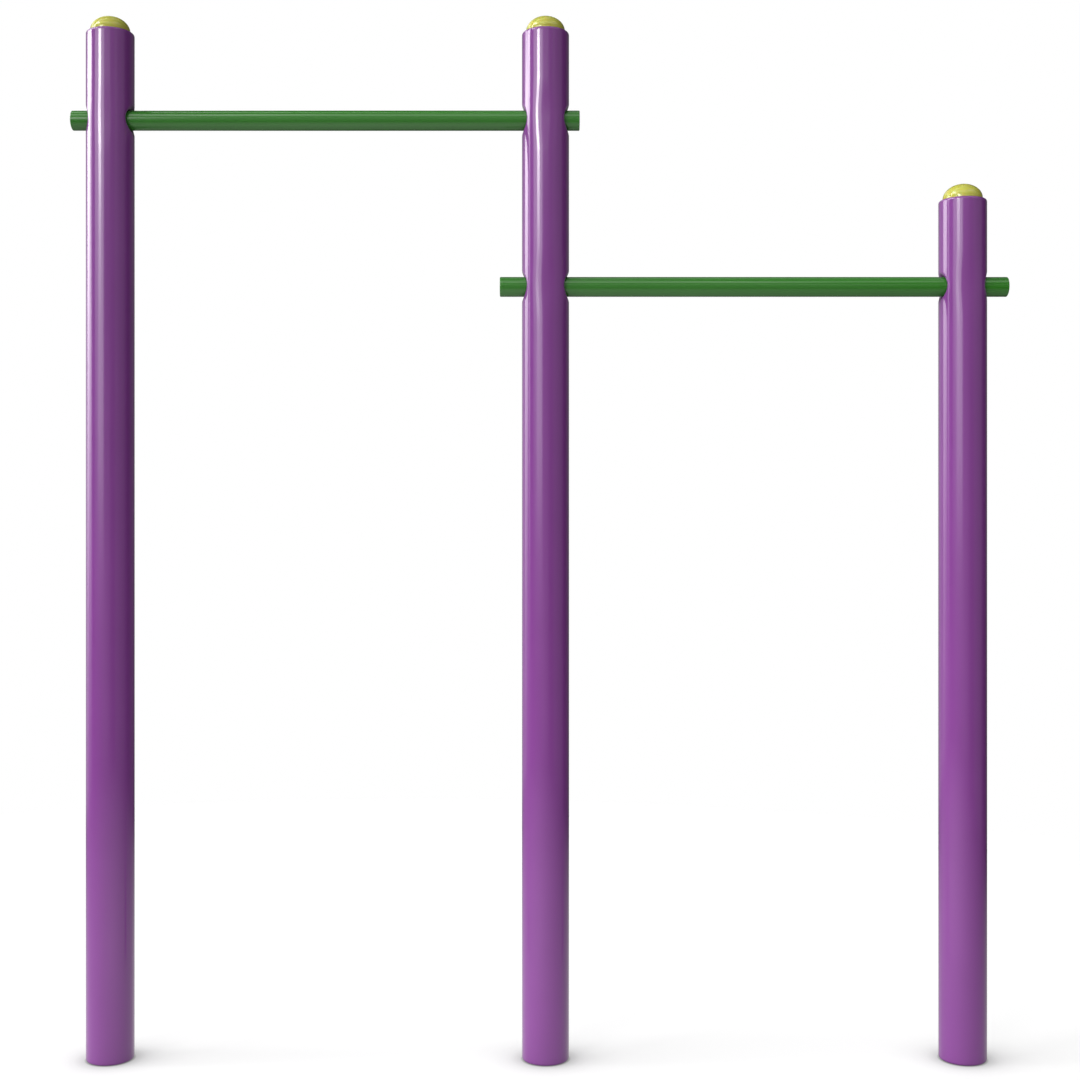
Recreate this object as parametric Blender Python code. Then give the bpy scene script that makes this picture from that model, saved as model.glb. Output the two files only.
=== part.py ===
"""Two-level outdoor pull-up bar: three steel posts, two bars through them, caps, plugs, locks and feet.

The bars run along X and the posts stand along Z. The front is -Y. The origin is on the ground, under the
middle of the whole frame. All sizes are in metres.
"""

import math

import bmesh
import bpy
from mathutils import Matrix

# Layout of the frame
HIGH_BAY = 1.000
LOW_BAY = 0.9585
HIGH_BAR_OVERHANG = 0.0865
LOW_BAR_OVERHANG = 0.1014
BAR_LENGTH = 1.1646
HIGH_BAR_HEIGHT = 2.155
LOW_BAR_HEIGHT = 1.773
HIGH_POST_HEIGHT = 2.3558
LOW_POST_HEIGHT = 1.9715

FRAME_LENGTH = HIGH_BAR_OVERHANG + HIGH_BAY + LOW_BAY + LOW_BAR_OVERHANG
LEFT_POST_X = HIGH_BAR_OVERHANG - FRAME_LENGTH / 2
MIDDLE_POST_X = LEFT_POST_X + HIGH_BAY
RIGHT_POST_X = MIDDLE_POST_X + LOW_BAY

# Gap between pieces that touch on the real frame
GAP = 0.0003

# Points nearer than this are one point, and an edge turned more than this many degrees is sharp
MERGE = 0.000001
SHARP_ANGLE = 35

# Post tube, its edges rolled inwards at the foot and at the rim
POST_RADIUS = 0.054
POST_WALL = 0.004
POST_BORE = POST_RADIUS - POST_WALL
EDGE_ROUND = 0.006
EDGE_STEPS = 3
INNER_EDGE_STEPS = 1
LIP_BORE = 0.0455
POST_COLUMNS = 32

# Mouths, where the wall is pressed inwards around a bar and ends in a short collar
BAR_RADIUS = 0.0225
MOUTH_RADIUS = BAR_RADIUS + 0.0005
MOUTH_BLEND = 0.0145
COLLAR_END = 0.028
BLEND_STEPS = 3
INNER_BLEND_STEPS = 2
PATCH_COLUMNS = 5
PATCH_ROWS = 4
PATCH_HALF_HEIGHT = 0.044

# Crossbar tube
BAR_WALL = 0.003
BAR_BORE = BAR_RADIUS - BAR_WALL
BAR_EDGE_ROUND = 0.0018
BAR_EDGE_STEPS = 2
BAR_SEGMENTS = 32

# Ribbed plug in each bar end. Its crown falls by a part of its height at a part of its radius
PLUG_CROWN = 0.0012
CROWN_SHOULDER_RADIUS = 0.6
CROWN_SHOULDER_FALL = 0.3
PLUG_HEAD = 0.003
PLUG_LENGTH = 0.018
PLUG_WALL = 0.002
PLUG_RIB_PITCH = 0.0045
PLUG_SEGMENTS = 20
RIB_COUNT = 2
RIB_DEPTH = 0.001
RIB_SLOPE = 0.6

# Flattened domed cap in the top of each post. Its widest ring stands a little above the rim
DOME_RADIUS = 0.0447
DOME_RISE = 0.0335
DOME_BASE = 0.0036
DOME_WALL = 0.003
DOME_STEPS = 6
DOME_INNER_STEPS = 4
CAP_SEGMENTS = 24
NECK_DROP = 0.0015
BEAD_DEPTH = 0.0012
BEAD_HEIGHT = 0.005
BEAD_CREST_DROP = 0.002
SKIRT_LENGTH = 0.026

# Foot plate and the nut that takes the ground anchor's M16 stud
FOOT_PLATE_THICKNESS = 0.010
ANCHOR_HOLE_RADIUS = 0.0085
ANCHOR_NUT_FLATS = 0.024
ANCHOR_NUT_HEIGHT = 0.013
ANCHOR_NUT_BORE = 0.0070

# M12 locking screw and its nut, behind each bar
LOCK_SCREW_RADIUS = 0.006
LOCK_SCREW_SINK = 0.0012
LOCK_SCREW_CHAMFER = 0.001
LOCK_SOCKET_FLATS = 0.006
LOCK_SOCKET_DEPTH = 0.006
LOCK_NUT_FLATS = 0.019
LOCK_NUT_HEIGHT = 0.010
DRILL_LENGTH = 0.012
HEX_POINTS = 18

PURPLE_PAINT = ("post_paint", (0.190, 0.052, 0.235), 0.22, 0.0)
GREEN_PAINT = ("bar_paint", (0.030, 0.180, 0.018), 0.30, 0.0)
YELLOW_PLASTIC = ("cap_plastic", (0.560, 0.590, 0.090), 0.28, 0.0)
GREEN_PLASTIC = ("plug_plastic", (0.025, 0.130, 0.018), 0.45, 0.0)
ZINC_STEEL = ("zinc_steel", (0.560, 0.570, 0.580), 0.35, 1.0)


def clear_scene():
    """Removes every object, so that only the frame is left in the file."""
    for obj in list(bpy.data.objects):
        bpy.data.objects.remove(obj)


def material(finish):
    """The named finish as a material, made once."""
    name, colour, roughness, metallic = finish
    found = bpy.data.materials.get(name)
    if found:
        return found
    made = bpy.data.materials.new(name)
    made.use_nodes = True
    shader = made.node_tree.nodes["Principled BSDF"]
    shader.inputs["Base Color"].default_value = (*colour, 1.0)
    shader.inputs["Roughness"].default_value = roughness
    shader.inputs["Metallic"].default_value = metallic
    return made


def object_from(bm, name, finish, matrix):
    """Closes off a bmesh as a named object, shaded smooth up to its sharp edges."""
    bmesh.ops.recalc_face_normals(bm, faces=bm.faces)
    mesh = bpy.data.meshes.new(name)
    bm.to_mesh(mesh)
    bm.free()
    mesh.shade_smooth()
    mesh.set_sharp_from_angle(angle=math.radians(SHARP_ANGLE))
    mesh.materials.append(material(finish))
    obj = bpy.data.objects.new(name, mesh)
    obj.matrix_world = matrix
    bpy.context.scene.collection.objects.link(obj)
    return obj


def join_loops(bm, first, second):
    """A band of quads between two closed loops of the same length."""
    count = len(first)
    for i in range(count):
        j = (i + 1) % count
        bm.faces.new((first[i], first[j], second[j], second[i]))


def arc(centre, radius, start, end, steps):
    """Points of a circular arc in a profile, with angles in degrees from the +radius direction."""
    angles = [math.radians(start + (end - start) * i / steps) for i in range(steps + 1)]
    return [(centre[0] + radius * math.cos(a), centre[1] + radius * math.sin(a)) for a in angles]


def turned(name, profile, segments, finish, matrix, ring=False):
    """Spins a profile of (radius, height) points about Z. A ring's last point joins its first."""
    bm = bmesh.new()
    verts = [bm.verts.new((radius, 0.0, height)) for radius, height in profile]
    pairs = list(zip(verts, verts[1:]))
    if ring:
        pairs.append((verts[-1], verts[0]))
    outline = verts + [bm.edges.new(pair) for pair in pairs]
    about = {"axis": (0, 0, 1), "cent": (0, 0, 0), "angle": math.tau}
    bmesh.ops.spin(bm, geom=outline, steps=segments, use_merge=True, **about)
    bmesh.ops.remove_doubles(bm, verts=bm.verts, dist=MERGE)
    object_from(bm, name, finish, matrix)


def stack(name, loops, finish, matrix, ring=False):
    """Joins loops of points one to the next. The ends are closed by flat faces, or joined in a ring."""
    bm = bmesh.new()
    rows = [[bm.verts.new(point) for point in loop] for loop in loops]
    pairs = list(zip(rows, rows[1:]))
    if ring:
        pairs.append((rows[-1], rows[0]))
    else:
        bm.faces.new(rows[0])
        bm.faces.new(rows[-1])
    for low, high in pairs:
        join_loops(bm, low, high)
    return object_from(bm, name, finish, matrix)


def circle(radius, height):
    """A round outline at a height."""
    angles = [math.tau * i / HEX_POINTS for i in range(HEX_POINTS)]
    return [(radius * math.cos(a), radius * math.sin(a), height) for a in angles]


def hexagon(flats, height):
    """A hexagon's outline with as many points as a circle's, so that the two join."""
    points = []
    for i in range(HEX_POINTS):
        angle = math.tau * i / HEX_POINTS
        from_mid_flat = angle % (math.pi / 3) - math.pi / 6
        reach = flats / 2 / math.cos(from_mid_flat)
        points.append((reach * math.cos(angle), reach * math.sin(angle), height))
    return points


def along_y(x, y, z):
    """Places a piece built along +Z so that it points along +Y from a point."""
    return Matrix.Translation((x, y, z)) @ Matrix.Rotation(-math.pi / 2, 4, "X")


def along_x(x, z, sign=1):
    """Places a piece built along +Z so that it points along +X, or -X, from a point on a bar's axis."""
    return Matrix.Translation((x, 0, z)) @ Matrix.Rotation(sign * math.pi / 2, 4, "Y")


def hex_nut(name, flats, height, bore, matrix):
    """A plain hexagon nut standing on its origin."""
    loops = [hexagon(flats, 0), hexagon(flats, height), circle(bore, height), circle(bore, 0)]
    stack(name, loops, ZINC_STEEL, matrix, ring=True)


def columns_from_mouth(column):
    """How many columns a wall's grid point stands from the middle of the nearer mouth."""
    half_turn = POST_COLUMNS // 2
    offset = column % half_turn
    return min(offset, half_turn - offset)


def in_patch(row, column, first_rows):
    """Whether the wall's quad from this row and column is left out, because a mouth takes its place."""
    reach = max(columns_from_mouth(column), columns_from_mouth(column + 1))
    return reach <= PATCH_COLUMNS and any(first <= row < first + PATCH_ROWS for first in first_rows)


def patch_edge(centre_column, first_row):
    """The grid points round a mouth's patch, in order from a lower corner."""
    left, right = centre_column - PATCH_COLUMNS, centre_column + PATCH_COLUMNS
    low, high = first_row, first_row + PATCH_ROWS
    keys = [(low, column) for column in range(left, right)]
    keys += [(row, right) for row in range(low, high)]
    keys += [(high, column) for column in range(right, left, -1)]
    keys += [(row, left) for row in range(high, low, -1)]
    return [(row, column % POST_COLUMNS) for row, column in keys]


def pressed_mouth(bm, boundary, side, height, depth, steps):
    """Carries a wall from its patch's edge down the mouth and along the collar, to the collar's end loop.

    The wall turns inwards on a quarter circle, measured square to the bar and along it. depth is how far
    this face of the wall lies under the outer one.
    """
    count = len(boundary)
    angles = [side * math.tau * (i - PATCH_COLUMNS) / count - math.pi / 2 for i in range(count)]
    mouth, blend = MOUTH_RADIUS + depth, MOUTH_BLEND - depth
    previous = boundary
    for turn in (math.pi / 2 * i / steps for i in range(steps + 1)):
        reach = mouth + blend * (1 - math.sin(turn))
        drop = blend * (1 - math.cos(turn))
        loop = []
        for angle in angles:
            y = reach * math.cos(angle)
            x = math.sqrt((POST_RADIUS - depth) ** 2 - y**2) - drop
            loop.append(bm.verts.new((side * x, y, height + reach * math.sin(angle))))
        join_loops(bm, previous, loop)
        previous = loop
    end = [bm.verts.new((side * COLLAR_END, v.co.y, v.co.z)) for v in previous]
    join_loops(bm, previous, end)
    return end


def wall_face(bm, height, crossings, depth, edge_steps, blend_steps):
    """The outer or inner face of a post's wall.

    Returns its end loops: the lip at the foot, the lip at the rim and the ends of its collars.
    """
    core = POST_RADIUS - EDGE_ROUND
    bend = EDGE_ROUND - depth
    profile = [(LIP_BORE, depth), *arc((core, EDGE_ROUND), bend, -90, 0, edge_steps)]
    first_rows = []
    for crossing in crossings:
        first_rows.append(len(profile))
        for i in range(PATCH_ROWS + 1):
            profile.append((core + bend, crossing + PATCH_HALF_HEIGHT * (2 * i / PATCH_ROWS - 1)))
    profile += [*arc((core, height - EDGE_ROUND), bend, 0, 90, edge_steps), (LIP_BORE, height - depth)]

    grid = {}

    def vert(row, column):
        key = (row, column % POST_COLUMNS)
        if key not in grid:
            radius, level = profile[row]
            angle = math.tau * column / POST_COLUMNS
            grid[key] = bm.verts.new((radius * math.cos(angle), radius * math.sin(angle), level))
        return grid[key]

    for row in range(len(profile) - 1):
        for column in range(POST_COLUMNS):
            if not in_patch(row, column, first_rows):
                corners = ((row, column), (row, column + 1), (row + 1, column + 1), (row + 1, column))
                bm.faces.new([vert(*corner) for corner in corners])
    ends = []
    for first_row, crossing in zip(first_rows, crossings):
        for side, centre_column in ((1, 0), (-1, POST_COLUMNS // 2)):
            boundary = [grid[key] for key in patch_edge(centre_column, first_row)]
            ends.append(pressed_mouth(bm, boundary, side, crossing, depth, blend_steps))
    lips = [[grid[row, column] for column in range(POST_COLUMNS)] for row in (0, len(profile) - 1)]
    return lips + ends


def post(name, x, height, crossings):
    """A post tube: the two faces of its wall, joined along both lips and at the collars' ends."""
    bm = bmesh.new()
    outer = wall_face(bm, height, crossings, 0, EDGE_STEPS, BLEND_STEPS)
    inner = wall_face(bm, height, crossings, POST_WALL, INNER_EDGE_STEPS, INNER_BLEND_STEPS)
    for outer_loop, inner_loop in zip(outer, inner):
        join_loops(bm, outer_loop, inner_loop)
    tube = object_from(bm, name, PURPLE_PAINT, Matrix.Translation((x, 0, 0)))
    for crossing in crossings:
        drill_back(tube, x, crossing)


def drill_back(tube, x, height):
    """The locking screw's clearance hole through the back wall of a post."""
    start = POST_BORE - POST_WALL
    outline = [circle(LOCK_SCREW_RADIUS + GAP, level) for level in (0, DRILL_LENGTH)]
    name = f"{tube.name}_drill_{round(height * 1000)}"
    drill = stack(name, outline, ZINC_STEEL, along_y(x, start, height))
    drill.hide_render = True
    drill.display_type = "WIRE"
    cut = tube.modifiers.new("back hole", "BOOLEAN")
    cut.operation = "DIFFERENCE"
    cut.object = drill


def foot_plate(name, x):
    """The disc that closes a post's foot inside the rolled lip, with the anchor stud's hole."""
    reach = LIP_BORE - GAP
    top = FOOT_PLATE_THICKNESS
    profile = [(ANCHOR_HOLE_RADIUS, 0), (reach, 0), (reach, top), (ANCHOR_HOLE_RADIUS, top)]
    turned(name, profile, POST_COLUMNS, PURPLE_PAINT, Matrix.Translation((x, 0, 0)), ring=True)


def flat_dome(radius, rise, start, end, steps):
    """Points of a flattened dome's profile, between two angles of the circle it was pressed down from."""
    return [(r, DOME_BASE + z * rise / radius) for r, z in arc((0, 0), radius, start, end, steps)]


def dome_cap(name, x, rim_height):
    """A domed cap on a short neck, with a skirt whose bead snaps under the post's rolled lip."""
    neck = LIP_BORE - GAP
    bore = neck - DOME_WALL
    bead_top = -POST_WALL - GAP
    profile = [
        *flat_dome(DOME_RADIUS, DOME_RISE, 90, 0, DOME_STEPS),
        (DOME_RADIUS, -NECK_DROP),
        (neck, -NECK_DROP - GAP),
        (neck, bead_top),
        (neck + BEAD_DEPTH, bead_top - BEAD_CREST_DROP),
        (neck, bead_top - BEAD_HEIGHT),
        (neck, -SKIRT_LENGTH),
        (bore, -SKIRT_LENGTH),
        *flat_dome(DOME_RADIUS - DOME_WALL, DOME_RISE - DOME_WALL, 0, 90, DOME_INNER_STEPS),
    ]
    turned(name, profile, CAP_SEGMENTS, YELLOW_PLASTIC, Matrix.Translation((x, 0, rim_height)))


def crossbar(name, left_end, height):
    """A bar tube from its left end, with both outer edges rounded over."""
    core = BAR_RADIUS - BAR_EDGE_ROUND
    far = BAR_LENGTH - BAR_EDGE_ROUND
    profile = [
        (BAR_BORE, 0),
        *arc((core, BAR_EDGE_ROUND), BAR_EDGE_ROUND, -90, 0, BAR_EDGE_STEPS),
        *arc((core, far), BAR_EDGE_ROUND, 0, 90, BAR_EDGE_STEPS),
        (BAR_BORE, BAR_LENGTH),
    ]
    turned(name, profile, BAR_SEGMENTS, GREEN_PAINT, along_x(left_end, height), ring=True)


def bar_plug(name, end, height, outwards):
    """The ribbed plug that closes a bar's end. Its low crown is level with the end."""
    reach = BAR_BORE - GAP
    root = reach - RIB_DEPTH
    bore = root - PLUG_WALL
    floor = -PLUG_HEAD - PLUG_WALL
    shoulder = (reach * CROWN_SHOULDER_RADIUS, -PLUG_CROWN * CROWN_SHOULDER_FALL)
    profile = [(0, 0), shoulder, (reach, -PLUG_CROWN), (reach, -PLUG_HEAD)]
    for i in range(RIB_COUNT):
        crest = -PLUG_HEAD - PLUG_RIB_PITCH * (i + 1)
        profile += [(root, crest + PLUG_RIB_PITCH * RIB_SLOPE), (reach, crest)]
    profile += [(root, -PLUG_LENGTH), (bore, -PLUG_LENGTH), (bore, floor), (0, floor)]
    turned(name, profile, PLUG_SEGMENTS, GREEN_PLASTIC, along_x(end, height, outwards))


def lock(place, x, height):
    """The nut inside a post's back wall and the socket screw that it drives against the bar."""
    corner = LOCK_NUT_FLATS / 2 / math.cos(math.pi / 6)
    nut_start = math.sqrt(POST_BORE**2 - corner**2) - GAP - LOCK_NUT_HEIGHT
    bore = LOCK_SCREW_RADIUS + GAP
    hex_nut(f"lock_nut_{place}", LOCK_NUT_FLATS, LOCK_NUT_HEIGHT, bore, along_y(x, nut_start, height))
    tip = BAR_RADIUS + GAP
    length = POST_RADIUS - LOCK_SCREW_SINK - tip
    radius = LOCK_SCREW_RADIUS
    loops = [
        circle(radius - 2 * LOCK_SCREW_CHAMFER, 0),
        circle(radius, 2 * LOCK_SCREW_CHAMFER),
        circle(radius, length - LOCK_SCREW_CHAMFER),
        circle(radius - LOCK_SCREW_CHAMFER, length),
        hexagon(LOCK_SOCKET_FLATS, length),
        hexagon(LOCK_SOCKET_FLATS, length - LOCK_SOCKET_DEPTH),
    ]
    stack(f"lock_screw_{place}", loops, ZINC_STEEL, along_y(x, tip, height))


def build():
    """The whole frame, from left to right."""
    clear_scene()
    posts = (
        ("left", LEFT_POST_X, HIGH_POST_HEIGHT, (HIGH_BAR_HEIGHT,)),
        ("middle", MIDDLE_POST_X, HIGH_POST_HEIGHT, (LOW_BAR_HEIGHT, HIGH_BAR_HEIGHT)),
        ("right", RIGHT_POST_X, LOW_POST_HEIGHT, (LOW_BAR_HEIGHT,)),
    )
    for place, x, height, crossings in posts:
        post(f"post_{place}", x, height, crossings)
        foot_plate(f"foot_plate_{place}", x)
        nut_place = Matrix.Translation((x, 0, FOOT_PLATE_THICKNESS + GAP))
        hex_nut(f"anchor_nut_{place}", ANCHOR_NUT_FLATS, ANCHOR_NUT_HEIGHT, ANCHOR_NUT_BORE, nut_place)
        dome_cap(f"dome_cap_{place}", x, height)

    bars = (
        ("high", LEFT_POST_X - HIGH_BAR_OVERHANG, HIGH_BAR_HEIGHT),
        ("low", RIGHT_POST_X + LOW_BAR_OVERHANG - BAR_LENGTH, LOW_BAR_HEIGHT),
    )
    for level, left_end, height in bars:
        crossbar(f"crossbar_{level}", left_end, height)
        bar_plug(f"bar_plug_{level}_left", left_end, height, -1)
        bar_plug(f"bar_plug_{level}_right", left_end + BAR_LENGTH, height, 1)

    lock("high_left", LEFT_POST_X, HIGH_BAR_HEIGHT)
    lock("high_middle", MIDDLE_POST_X, HIGH_BAR_HEIGHT)
    lock("low_middle", MIDDLE_POST_X, LOW_BAR_HEIGHT)
    lock("low_right", RIGHT_POST_X, LOW_BAR_HEIGHT)


build()
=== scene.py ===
"""Two-level outdoor pull-up bar, dressed for a studio picture.

Three powder-coated posts carry two bars that pass right through them. Every sub-assembly is a class
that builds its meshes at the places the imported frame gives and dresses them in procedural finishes.
All sizes are in metres. The bars run along X, the posts stand along Z and the front is -Y.
"""
import logging
import math
from dataclasses import dataclass
from enum import Enum
from typing import Callable, ClassVar, Iterable

import bmesh
import bpy
from mathutils import Matrix, Vector

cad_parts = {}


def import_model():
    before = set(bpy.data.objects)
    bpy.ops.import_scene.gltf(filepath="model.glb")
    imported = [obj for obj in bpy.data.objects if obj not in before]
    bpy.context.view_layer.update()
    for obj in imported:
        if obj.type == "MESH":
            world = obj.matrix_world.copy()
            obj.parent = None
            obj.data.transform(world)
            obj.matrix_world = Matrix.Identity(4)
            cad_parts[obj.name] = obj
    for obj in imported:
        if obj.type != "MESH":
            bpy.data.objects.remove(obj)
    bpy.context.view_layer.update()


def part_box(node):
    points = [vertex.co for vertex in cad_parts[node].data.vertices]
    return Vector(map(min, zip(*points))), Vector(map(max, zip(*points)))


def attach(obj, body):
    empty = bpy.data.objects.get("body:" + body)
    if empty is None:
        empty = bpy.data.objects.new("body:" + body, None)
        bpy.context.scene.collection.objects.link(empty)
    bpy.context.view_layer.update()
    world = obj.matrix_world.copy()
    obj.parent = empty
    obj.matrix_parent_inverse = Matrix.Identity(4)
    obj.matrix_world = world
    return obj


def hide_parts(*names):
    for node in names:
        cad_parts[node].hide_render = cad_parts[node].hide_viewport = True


log = logging.getLogger("pull_up_bar")

BODY = "root"
GAP = 0.0003
MERGE = 0.000001
SHARP_ANGLE = math.radians(35)
END_FACING = 0.99
LOCK_PITCH = 0.00175
WHITE = (1.0, 1.0, 1.0, 1.0)
ORIGIN = Vector((0.0, 0.0, 0.0))
ALONG = Vector((1.0, 0.0, 0.0))
UP = Vector((0.0, 0.0, 1.0))

Point = tuple[float, float]
Spot = tuple[float, float, float]
Colour = tuple[float, float, float]
Terms = dict[str | int, object]
Rule = Callable[[Vector], Vector]
Piece = bpy.types.Object
Socket = bpy.types.NodeSocket


class Place(Enum):
    """The posts, by where they stand."""

    LEFT = "left"
    MIDDLE = "middle"
    RIGHT = "right"


class Level(Enum):
    """The bars, by how high they stand."""

    HIGH = "high"
    LOW = "low"


class Side(Enum):
    """The way along X that a post's mouth or a bar's end faces."""

    LEFT = -1
    RIGHT = 1


class Slot(Enum):
    """The material slots."""

    POST = "post_paint"
    BAR = "bar_paint"
    CAP = "cap_plastic"
    PLUG = "plug_plastic"
    ZINC = "zinc_steel"


class Element(Enum):
    """What is picked from a mesh, by Blender's name for its select mode."""

    EDGES = "EDGE"
    FACES = "FACE"


class Cut(Enum):
    """What a tool shape leaves of a piece, by Blender's name for the operation."""

    OUTSIDE = "DIFFERENCE"
    INSIDE = "INTERSECT"


def clear_selection() -> None:
    """Deselects every object, the frame's own nodes among them."""
    bpy.ops.object.select_all(action="DESELECT")


def take(piece: Piece) -> None:
    """Selects one piece alone and makes it the active one.

    Args:
        piece: The piece to work on.
    """
    clear_selection()
    piece.select_set(True)
    bpy.context.view_layer.objects.active = piece


def name_new(name: str) -> Piece:
    """Names the primitive that was just added and settles its place into its mesh.

    Args:
        name: The piece's name.

    Returns:
        The new object, at the origin and unturned.
    """
    piece = bpy.context.object
    piece.name = name
    piece.data.name = name
    take(piece)
    bpy.ops.object.transform_apply(location=True, rotation=True, scale=True)
    return piece


def cylinder(name: str, radius: float, start: Vector, end: Vector, sides: int) -> Piece:
    """A capped cylinder between two points.

    Args:
        name: The piece's name.
        radius: Its radius.
        start: The middle of its first end.
        end: The middle of its second end.
        sides: How many sides it has.

    Returns:
        The cylinder, its place in its mesh.
    """
    clear_selection()
    run = end - start
    turn = run.to_track_quat("Z", "Y").to_euler()
    bpy.ops.mesh.primitive_cylinder_add(
        vertices=sides, radius=radius, depth=run.length, end_fill_type="NGON",
        location=(start + end) / 2, rotation=turn)
    return name_new(name)


def open_mesh(piece: Piece) -> None:
    """Goes into edit mode on a piece, with nothing selected.

    Args:
        piece: The piece to open.
    """
    take(piece)
    bpy.ops.object.mode_set(mode="EDIT")
    bpy.ops.mesh.select_mode(type="VERT")
    bpy.ops.mesh.select_all(action="DESELECT")


def close_mesh() -> None:
    """Leaves edit mode."""
    bpy.ops.object.mode_set(mode="OBJECT")


def pick(piece: Piece, kind: Element, wanted: Callable[[object], bool]) -> None:
    """Selects, in edit mode, only the elements that a test wants.

    Args:
        piece: The piece that is open for editing.
        kind: Whether edges or faces are tested.
        wanted: The test, given a mesh element.
    """
    bpy.ops.mesh.select_mode(type=kind.value)
    bpy.ops.mesh.select_all(action="DESELECT")
    bm = bmesh.from_edit_mesh(piece.data)
    for element in bm.edges if kind is Element.EDGES else bm.faces:
        if wanted(element):
            element.select_set(True)
    bm.select_mode = {kind.value}
    bm.select_flush_mode()
    bmesh.update_edit_mesh(piece.data)


def pick_ends(piece: Piece, axis: Vector) -> None:
    """Selects the faces that look along an axis, one way or the other."""
    pick(piece, Element.FACES, lambda face: abs(face.normal.dot(axis)) > END_FACING)


def pick_boundary(piece: Piece) -> None:
    """Selects the edges that only one face uses."""
    pick(piece, Element.EDGES, lambda edge: edge.is_boundary)


def pick_rims(piece: Piece, mid: Vector, axis: Vector, radius: float) -> None:
    """Selects the circles of one radius round an axis.

    Args:
        piece: The piece that is open for editing.
        mid: A point on the axis.
        axis: The axis's direction.
        radius: The circles' radius.
    """
    def on_rim(edge: bmesh.types.BMEdge) -> bool:
        """Says whether an edge is part of such a circle.

        Args:
            edge: An edge of the piece.

        Returns:
            True where its ends are level along the axis and both at the radius.
        """
        offsets = [vert.co - mid for vert in edge.verts]
        heights = [offset.dot(axis) for offset in offsets]
        reaches = [(offset - axis * height).length for offset, height in zip(offsets, heights)]
        return abs(heights[0] - heights[1]) < MERGE and min(reaches) > radius - GAP

    pick(piece, Element.EDGES, on_rim)


def place_picked(piece: Piece, place: Rule) -> None:
    """Moves every selected vertex to where a rule puts it.

    Args:
        piece: The piece that is open for editing.
        place: Gives a vertex's new place from its old one.
    """
    bm = bmesh.from_edit_mesh(piece.data)
    for vert in bm.verts:
        if vert.select:
            vert.co = place(vert.co)
    bmesh.update_edit_mesh(piece.data)


def extrude_picked(piece: Piece, place: Rule) -> None:
    """Extrudes the selected edges and moves the new ones to where a rule puts them."""
    bpy.ops.mesh.extrude_edges_move(TRANSFORM_OT_translate={"value": (0.0, 0.0, 0.0)})
    place_picked(piece, place)


def cut(axis: Vector, *places: float, **clear: bool) -> None:
    """Cuts all of the open mesh square to an axis.

    Args:
        axis: The axis's direction, from the origin.
        *places: How far along it each cut lies.
        **clear: The side to take away, and whether to fill the cut, by the operator's own names.
    """
    for place in places:
        bpy.ops.mesh.select_all(action="SELECT")
        bpy.ops.mesh.bisect(plane_co=axis * place, plane_no=axis, **clear)


def face_outwards() -> None:
    """Merges doubled points of the open mesh and turns all its faces outwards."""
    bpy.ops.mesh.select_mode(type="VERT")
    bpy.ops.mesh.select_all(action="SELECT")
    bpy.ops.mesh.remove_doubles(threshold=MERGE)
    bpy.ops.mesh.normals_make_consistent(inside=False)
    bpy.ops.mesh.select_all(action="DESELECT")


def outline(name: str, points: list[Point]) -> Piece:
    """Draws a line of edges in the XZ plane and leaves it open for editing.

    Args:
        name: The piece's name.
        points: The line's points, by radius and height.

    Returns:
        The new piece.
    """
    clear_selection()
    bpy.ops.mesh.primitive_plane_add(size=GAP)
    piece = name_new(name)
    open_mesh(piece)
    bpy.ops.mesh.select_all(action="SELECT")
    bpy.ops.mesh.merge(type="CENTER")
    first = Vector((points[0][0], 0.0, points[0][1]))
    place_picked(piece, lambda _: first)
    for (radius, height), (last_radius, last_height) in zip(points[1:], points):
        step = (radius - last_radius, 0.0, height - last_height)
        bpy.ops.mesh.extrude_vertices_move(TRANSFORM_OT_translate={"value": step})
    return piece


def turned(name: str, profile: list[Point], matrix: Matrix, sides: int) -> Piece:
    """Turns an outline round its axis, as on a lathe.

    Args:
        name: The piece's name.
        profile: Points of radius and height that begin and end on the axis.
        matrix: Carries the turned shape, which stands on +Z, to its place.
        sides: How many steps the turn has.

    Returns:
        The turned piece, closed and facing outwards.
    """
    piece = outline(name, profile)
    bpy.ops.mesh.select_all(action="SELECT")
    bpy.ops.mesh.spin(steps=sides, angle=math.tau, center=ORIGIN, axis=UP)
    face_outwards()
    close_mesh()
    piece.data.transform(matrix)
    return piece


def bore_through(piece: Piece, mid: Vector, axis: Vector, radius: float) -> None:
    """Opens a round hole between the two flat ends of a piece.

    Args:
        piece: The piece, in object mode, with one face on each flat end.
        mid: A point on the hole's axis.
        axis: The hole's direction.
        radius: The hole's radius.
    """
    open_mesh(piece)
    pick_ends(piece, axis)
    bm = bmesh.from_edit_mesh(piece.data)
    chosen = next(face for face in bm.faces if face.select)
    corner = chosen.verts[0].co - mid
    reach = (corner - axis * corner.dot(axis)).length
    bpy.ops.mesh.inset(thickness=reach - radius)
    bpy.ops.mesh.delete(type="FACE")
    pick_boundary(piece)
    bpy.ops.mesh.bridge_edge_loops()
    face_outwards()
    close_mesh()


def apply(piece: Piece, kind: str, **settings: object) -> None:
    """Adds a modifier with its settings and applies it.

    Args:
        piece: The piece it works on.
        kind: Blender's name for the modifier's kind.
        **settings: The modifier's own settings.
    """
    take(piece)
    modifier = piece.modifiers.new(kind.lower(), kind)
    for name, value in settings.items():
        setattr(modifier, name, value)
    bpy.ops.object.modifier_apply(modifier=modifier.name)


def combine(piece: Piece, tool: Piece, cut: Cut) -> None:
    """Cuts a piece with a closed tool shape, then throws the tool away."""
    apply(piece, "BOOLEAN", operation=cut.value, object=tool, solver="EXACT")
    bpy.data.objects.remove(tool)


def smooth(piece: Piece) -> None:
    """Shades a piece smooth up to its sharp edges."""
    take(piece)
    bpy.ops.object.shade_smooth_by_angle(angle=SHARP_ANGLE)


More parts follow.
